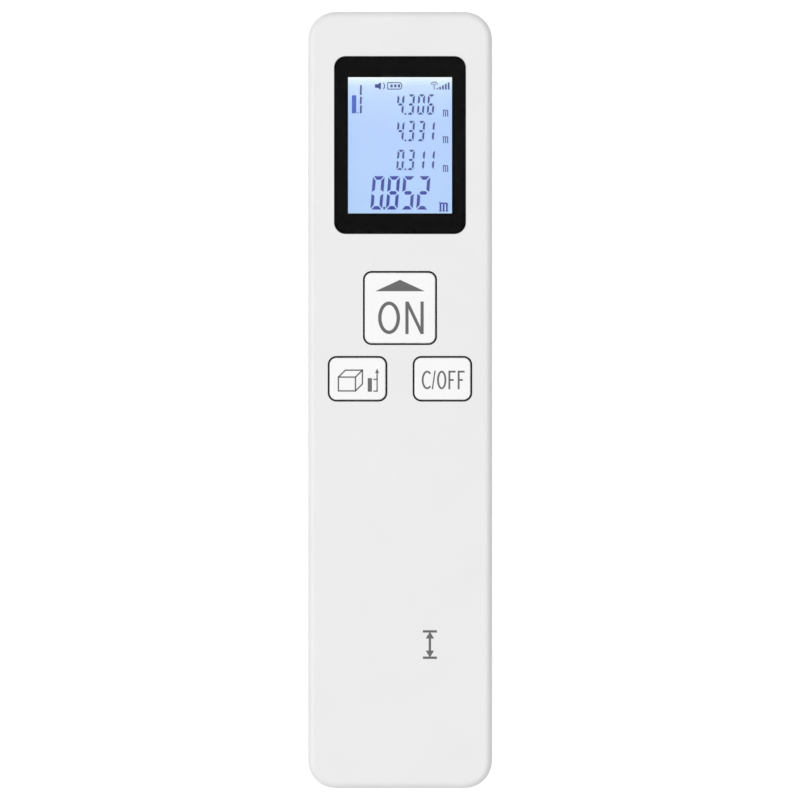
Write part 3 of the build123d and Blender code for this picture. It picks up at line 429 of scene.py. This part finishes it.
def moved(shape, along, up, slant):
    """A shape leaned over about its own middle and then moved."""
    points, faces = shape
    return [(x + along + y * slant, y + up) for x, y in points], faces


def flat_piece(name, shapes, origin, foot, material, body):
    """One thin closed mesh from flat shapes about an origin, standing on the height of its foot."""
    points, faces = [], []
    for shape_points, shape_faces in shapes:
        base = len(points)
        points += shape_points
        for face in shape_faces:
            corners = [shape_points[i] for i in face]
            area = sum(a[0] * b[1] - b[0] * a[1] for a, b in zip(corners, corners[1:] + corners[:1]))
            ordered = face if area > 0 else tuple(reversed(face))
            faces.append(tuple(base + i for i in ordered))
    count = len(points)
    heights = (foot, foot + PRINT_THICKNESS)
    vertices = [(origin.x + x * MM, origin.y + y * MM, height) for height in heights for x, y in points]
    edges = {edge for face in faces for edge in zip(face, face[1:] + face[:1])}
    rims = sorted(edge for edge in edges if edge[::-1] not in edges)
    tops = [tuple(index + count for index in face) for face in faces]
    bottoms = [tuple(reversed(face)) for face in faces]
    walls = [(start, end, end + count, start + count) for start, end in rims]
    mesh = bpy.data.meshes.new(name)
    mesh.from_pydata(vertices, [], tops + bottoms + walls)
    mesh.materials.append(material)
    mesh.update()
    piece = bpy.data.objects.new(name, mesh)
    bpy.context.scene.collection.objects.link(piece)
    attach(piece, body)


# --- Key legends ----------------------------------------------------------------------------------------
def letter_n(x_low, x_high, y_low, y_high, line):
    """Two posts and a slanting bar between them."""
    foot = line * 2.3  # the bar's height where it meets a post
    return [
        box_shape(x_low, x_low + line, y_low, y_high),
        polygon((x_low + line, y_high), (x_low + line, y_high - foot), (x_high - line, y_low),
                (x_high - line, y_low + foot)),
        box_shape(x_high - line, x_high, y_low, y_high),
    ]


def on_legend():
    """A broad triangle over the word ON."""
    line, post, low, high = 0.57, 0.53, -4.36, 1.08
    triangle_half, triangle_low, triangle_high = 4.15, 2.8, 4.72
    return [
        polygon((-triangle_half, triangle_low), (triangle_half, triangle_low), (0, triangle_high)),
        oval(-3.66, 0, low, high, line),
        *letter_n(0.9, 3.96, low, high, post),
    ]


def mode_legend():
    """A box in outline, a solid bar and a dimension arrow."""
    line, thin = 0.23, 0.21
    left, right, low, high = -3.2, -0.35, -2.03, 0.28
    back = 1.16  # how far the box's rear face stands up and to the right
    bar_left, bar_right, bar_low, bar_high = 1.7, 2.4, -2.17, 0.11
    arrow_x, arrow_high, head, head_half = 3.27, 1.72, 0.78, 0.34
    tick_left = 2.64
    head_low = arrow_high - head
    ticks = (bar_low + thin / 2, bar_high - thin)
    return [
        stroke([(left, low), (right, low), (right, high), (left, high)], line, closed=True),
        stroke([(left, high), (left + back, high + back), (right + back, high + back),
                (right + back, low + back), (right, low)], line),
        stroke([(right, high), (right + back, high + back)], line),
        box_shape(bar_left, bar_right, bar_low, bar_high),
        stroke([(arrow_x, bar_low), (arrow_x, head_low)], thin),
        polygon((arrow_x - head_half, head_low), (arrow_x + head_half, head_low), (arrow_x, arrow_high)),
        *(box_shape(tick_left, arrow_x, y - thin / 2, y + thin / 2) for y in ticks),
    ]


def letter_f(x_low, x_high, y_low, y_high, line):
    """A post with a full bar at its top and a shorter one half way."""
    middle = (y_low + y_high) / 2
    return [
        box_shape(x_low, x_low + line, y_low, y_high),
        box_shape(x_low + line, x_high, y_high - line, y_high),
        box_shape(x_low + line, x_high - line, middle - line / 2, middle + line / 2),
    ]


def clear_legend():
    """The letters C/OFF."""
    line, low, high = 0.31, -1.75, 1.35
    middle = (low + high) / 2
    radius = (high - low - line) / 2
    mouth = 48  # half the opening of the C, in degrees
    slash_foot, slash_head, slash_width = -1.8, -1.35, 0.22
    return [
        stroke(arc((-2.55, middle), 0.76, radius, mouth, 360 - mouth, 28), line),
        polygon((slash_foot, low), (slash_foot + slash_width, low),
                (slash_head + slash_width, high), (slash_head, high)),
        oval(-0.9, 0.65, low, high, line),
        *letter_f(1.0, 2.19, low, high, line),
        *letter_f(2.55, 3.7, low, high, line),
    ]


for key, shapes in (("on", on_legend()), ("mode", mode_legend()), ("clear", clear_legend())):
    button = f"{key}_button"
    flat_piece(f"{key}_legend", shapes, centre_of(button), top_of(button), PRINT, f"{key}_key")


# --- Display content ------------------------------------------------------------------------------------
SEGMENTS = {
    "0": "abcdef",
    "1": "bc",
    "2": "abdeg",
    "3": "abcdg",
    "4": "bcfg",
    "5": "acdfg",
    "6": "acdefg",
    "8": "abcdefg",
}
SLANT = math.tan(math.radians(4.5))


def digit(character, width, height, line, gap):
    """The lit segments of one seven-segment digit, centred on the origin.

    Three segments are drawn, the top, the upper left and the middle one. The rest are their mirror images.
    """
    side, top = width / 2, height / 2
    bar = line * 1.15
    flat = polygon((-side + gap, top), (side - gap, top),
                   (side - line - gap, top - bar), (-side + line + gap, top - bar))
    post = polygon((-side, gap), (-side + line, gap + line * 0.7),
                   (-side + line, top - bar - gap), (-side, top - gap))
    tip, shoulder = side - (line + gap) / 2, side - line - gap / 3
    middle = polygon((-tip, 0), (-shoulder, bar / 2), (shoulder, bar / 2),
                     (tip, 0), (shoulder, -bar / 2), (-shoulder, -bar / 2))
    flips = {
        "a": (flat, 1, 1),
        "b": (post, -1, 1),
        "c": (post, -1, -1),
        "d": (flat, 1, -1),
        "e": (post, 1, -1),
        "f": (post, 1, 1),
        "g": (middle, 1, 1),
    }
    shapes = []
    for name in SEGMENTS[character]:
        (points, faces), flip_x, flip_y = flips[name]
        shapes.append(([(x * flip_x, y * flip_y) for x, y in points], faces))
    return shapes


def reading(text, places, bottom, height, width, line, gap):
    """A row of slanting digits, whose middles stand at the given places."""
    shapes = []
    for character, place in zip(text, places):
        upright = digit(character, width, height, line, gap)
        shapes += [moved(shape, place, bottom + height / 2, SLANT) for shape in upright]
    return shapes


def letter_m(x_low, x_high, y_low, y_high, line):
    """A small m with feet."""
    foot = line * 0.7
    step = (x_high - x_low - 2 * foot) / 2
    posts = [x_low + foot + i * step for i in range(3)]
    top = y_high - line / 2
    shapes = [box_shape(x - line / 2, x + line / 2, y_low, top) for x in posts]
    shapes += [box_shape(x - foot, x + foot, y_low, y_low + line * 0.6) for x in posts]
    shapes += [stroke([(a, top - line * 0.6), ((a + b) / 2, top), (b, top - line * 0.6)], line * 0.8)
               for a, b in zip(posts, posts[1:])]
    shapes.append(box_shape(x_low, posts[0], top - line * 0.3, y_high))
    return shapes


def speaker(x, y):
    """A small loudspeaker with one sound wave."""
    box_half, cone_half, box_width, width = 0.3, 0.62, 0.42, 1.0
    cone = polygon((x, y - box_half), (x + box_width, y - box_half), (x + width, y - cone_half),
                   (x + width, y + cone_half), (x + box_width, y + box_half), (x, y + box_half))
    wave_x, wave_across, wave_up, wave_line, spread = x + 0.9, 0.72, 0.68, 0.16, 48
    return [cone, stroke(arc((wave_x, y), wave_across, wave_up, -spread, spread, 8), wave_line)]


def battery_level(x_low, x_high, y, half_height):
    """A battery in outline with three full cells."""
    line, bulge = 0.15, 0.25
    cell, cell_half, first, pitch = 0.38, 0.247, x_low + 0.46, 0.62
    body = [(x_low, y - half_height), (x_high - bulge, y - half_height), (x_high, y - half_height + bulge),
            (x_high, y + half_height - bulge), (x_high - bulge, y + half_height), (x_low, y + half_height)]
    starts = [first + i * pitch for i in range(3)]
    cells = [box_shape(start, start + cell, y - cell_half, y + cell_half) for start in starts]
    return [stroke(body, line, closed=True), *cells]


def signal(x, y_low):
    """An aerial with two waves, and five rising bars."""
    line, aerial_y = 0.14, y_low + 0.62
    bar, first, pitch, shortest, step = 0.29, x + 0.37, 0.475, 0.2, 0.245
    bars = [(first + i * pitch, shortest + i * step) for i in range(5)]
    return [
        box_shape(x - line / 2, x + line / 2, y_low, aerial_y),
        stroke(arc((x, aerial_y), 0.26, 0.26, 15, 165, 8), line),
        stroke(arc((x, aerial_y), 0.62, 0.64, 20, 160, 8), line),
        *(box_shape(start, start + bar, y_low, y_low + height) for start, height in bars),
    ]


def dashed_beam(x, line, dashes):
    """A beam broken into dashes, each leaning a very little."""
    lean = 0.056
    left, right = x - line / 2, x + line / 2
    return [polygon((left, start), (right, start), (right + lean, end), (left + lean, end))
            for start, end in dashes]


# The signs along the top, from left to right.
SPEAKER_X, SPEAKER_Y = -4.2, 10.05
BATTERY_LEFT, BATTERY_RIGHT, BATTERY_Y, BATTERY_HALF = -2.06, 0.28, 10.08, 0.54
SIGNAL_X, SIGNAL_FOOT = 5.75, 9.47
dark_shapes = speaker(SPEAKER_X, SPEAKER_Y)
dark_shapes += battery_level(BATTERY_LEFT, BATTERY_RIGHT, BATTERY_Y, BATTERY_HALF)
dark_shapes += signal(SIGNAL_X, SIGNAL_FOOT)

# The sign for where distances are counted from: a bar for the meter, a dot and a dashed beam.
BEAM_X, BEAM_LINE, BEAM_FOOT = -6.6, 0.3, 5.47
BEAM_DASHES = ((BEAM_FOOT, 6.81), (7.04, 8.25), (8.54, 10.21))
DOT_LEFT, DOT_SIDE = -7.15, 0.2
BAR_LEFT, BAR_RIGHT, BAR_TOP = -8.07, -7.34, 8.5
dark_shapes += dashed_beam(BEAM_X, BEAM_LINE, BEAM_DASHES)
dark_shapes.append(box_shape(DOT_LEFT, DOT_LEFT + DOT_SIDE, BEAM_FOOT, BEAM_FOOT + 0.9 * DOT_SIDE))
edge_bar = box_shape(BAR_LEFT, BAR_RIGHT, BEAM_FOOT, BAR_TOP)

# Three small readings, each with its decimal point and unit.
READINGS = (("4306", 5.25), ("4331", 0.79), ("0311", -4.05))
SMALL_PLACES = (0.07, 1.82, 3.54, 5.18)
SMALL_DIGIT = {"height": 3.4, "width": 1.16, "line": 0.33, "gap": 0.13}
SMALL_POINT_LEFT, SMALL_POINT_RIGHT = 0.75, 1.03
SMALL_UNIT_LEFT, SMALL_UNIT_RIGHT, SMALL_UNIT_LINE = 7.18, 8.12, 0.17
for text, bottom in READINGS:
    dark_shapes += reading(text, SMALL_PLACES, bottom, **SMALL_DIGIT)
    dark_shapes.append(box_shape(SMALL_POINT_LEFT, SMALL_POINT_RIGHT, bottom - 0.03, bottom + 0.26))
    dark_shapes += letter_m(SMALL_UNIT_LEFT, SMALL_UNIT_RIGHT, bottom - 0.3, bottom + 0.86, SMALL_UNIT_LINE)

# The large reading with its decimal point and unit.
LARGE_BOTTOM = -10.68
LARGE_PLACES = (-3.77, -1.18, 1.36, 3.91)
LARGE_DIGIT = {"height": 5.6, "width": 1.98, "line": 0.52, "gap": 0.15}
LARGE_POINT_LEFT, LARGE_POINT_RIGHT = -2.82, -2.47
LARGE_UNIT_LEFT, LARGE_UNIT_RIGHT, LARGE_UNIT_LINE = 6.58, 8.07, 0.29
blue_shapes = reading("0852", LARGE_PLACES, LARGE_BOTTOM, **LARGE_DIGIT)
blue_shapes.append(box_shape(LARGE_POINT_LEFT, LARGE_POINT_RIGHT, LARGE_BOTTOM, LARGE_BOTTOM + 0.48))
blue_shapes += letter_m(LARGE_UNIT_LEFT, LARGE_UNIT_RIGHT, -11.0, -9.42, LARGE_UNIT_LINE)

segment_z = top_of("lcd_glass_rear") + PRINT_THICKNESS
for name, shapes, material in (
    ("display_small_marks", dark_shapes, DARK_SEGMENTS),
    ("display_large_marks", blue_shapes, BLUE_SEGMENTS),
    ("display_edge_bar", [edge_bar], BAR_SEGMENT),
):
    flat_piece(name, shapes, WINDOW_CENTRE, segment_z, material, "case")


# --- Studio ---------------------------------------------------------------------------------------------
def plain(name, grey, glow=0.0):
    """A plain matt sheet. A glow, full far off, clears shadows from it but casts no light on the meter."""
    matt, full_from, near = 0.9, 2.0, 0.3
    shader = Shader(name, (grey, grey, grey), matt)
    shader.vary_roughness(shader.noise(20 * MM, 2), matt, matt + 0.02)
    if glow:
        shader.bsdf.inputs["Emission Color"].default_value = (1, 1, 1, 1)
        reach = shader.add("ShaderNodeVectorMath", operation="LENGTH")
        shader.join(shader.place, reach.inputs["Vector"])
        strength = shader.map_range(reach.outputs["Value"], glow, 1.0, near, full_from)
        seen = shader.add("ShaderNodeLightPath").outputs["Is Camera Ray"]
        shader.join(shader.calculate("MULTIPLY", seen, strength), shader.bsdf.inputs["Emission Strength"])
    return shader.material


def flat_sheet(name, centre, half, material):
    """A level square sheet in the studio, given by its middle and half its side."""
    x, y, height = centre
    mesh = bpy.data.meshes.new(name)
    corners = [(x - half, y - half), (x + half, y - half), (x + half, y + half), (x - half, y + half)]
    mesh.from_pydata([(*corner, height) for corner in corners], [], [(0, 1, 2, 3)])
    mesh.materials.append(material)
    sheet = bpy.data.objects.new(name, mesh)
    bpy.context.scene.collection.objects.link(sheet)


FLOOR_HALF = 3.0
FLOOR_GREY = 0.9
FLOOR_GLOW = 0.5
FLOOR_GAP = 0.01 * MM  # under the meter
floor_centre = (0, 0, CASE_LOW[2] - FLOOR_GAP)
flat_sheet("floor", floor_centre, FLOOR_HALF, plain("floor_white", FLOOR_GREY, FLOOR_GLOW))

# A long lens looks straight down on the meter, with the measuring end at the top of the picture.
LENS = 200
SENSOR = 36
LENGTH_IN_PICTURE = 0.9702
picture_plane = CASE_HIGH[2] - CASE_EDGE  # where the outline is widest
distance = CASE_LENGTH / LENGTH_IN_PICTURE * LENS / SENSOR
camera_data = bpy.data.cameras.new("camera")
camera_data.lens = LENS
camera_data.sensor_width = SENSOR
camera_data.clip_start = 0.01
camera = bpy.data.objects.new("camera", camera_data)
camera.location = (CASE_CENTRE.x, CASE_CENTRE.y, picture_plane + distance)
bpy.context.scene.collection.objects.link(camera)
bpy.context.scene.camera = camera

# One large soft light hangs over the meter, a little to the left, and faces it.
LIGHT_PLACE = Vector((-0.4, 0, 1.45))
LIGHT_ACROSS = 1.1
LIGHT_ALONG = 2.4
LIGHT_POWER = 24.5
light_data = bpy.data.lights.new("overhead", "AREA")
light_data.shape = "RECTANGLE"
light_data.size = LIGHT_ACROSS
light_data.size_y = LIGHT_ALONG
light_data.energy = LIGHT_POWER
light = bpy.data.objects.new("overhead", light_data)
light.location = LIGHT_PLACE
light.rotation_euler = (CASE_CENTRE - LIGHT_PLACE).to_track_quat("-Z", "Y").to_euler()
bpy.context.scene.collection.objects.link(light)

# A small dark card between the light and the lens keeps the glass of the window dark.
CARD_HEIGHT = 1.2
CARD_HALF = 0.16
CARD_GREY = 0.3
card_centre = (CASE_CENTRE.x, CASE_CENTRE.y, CARD_HEIGHT)
flat_sheet("dark_card", card_centre, CARD_HALF, plain("card_grey", CARD_GREY))

# The room lights the meter softly, and looks white behind it.
ROOM_LIGHT = 0.35
ROOM_SEEN = 1.0
world = bpy.data.worlds.new("studio")
world.use_nodes = True
background = world.node_tree.nodes["Background"]
background.inputs["Color"].default_value = (1, 1, 1, 1)
light_path = world.node_tree.nodes.new("ShaderNodeLightPath")
room = world.node_tree.nodes.new("ShaderNodeMapRange")
room.inputs["To Min"].default_value = ROOM_LIGHT
room.inputs["To Max"].default_value = ROOM_SEEN
world.node_tree.links.new(light_path.outputs["Is Camera Ray"], room.inputs["Value"])
world.node_tree.links.new(room.outputs["Result"], background.inputs["Strength"])
bpy.context.scene.world = world
bpy.context.scene.view_settings.view_transform = "Standard"
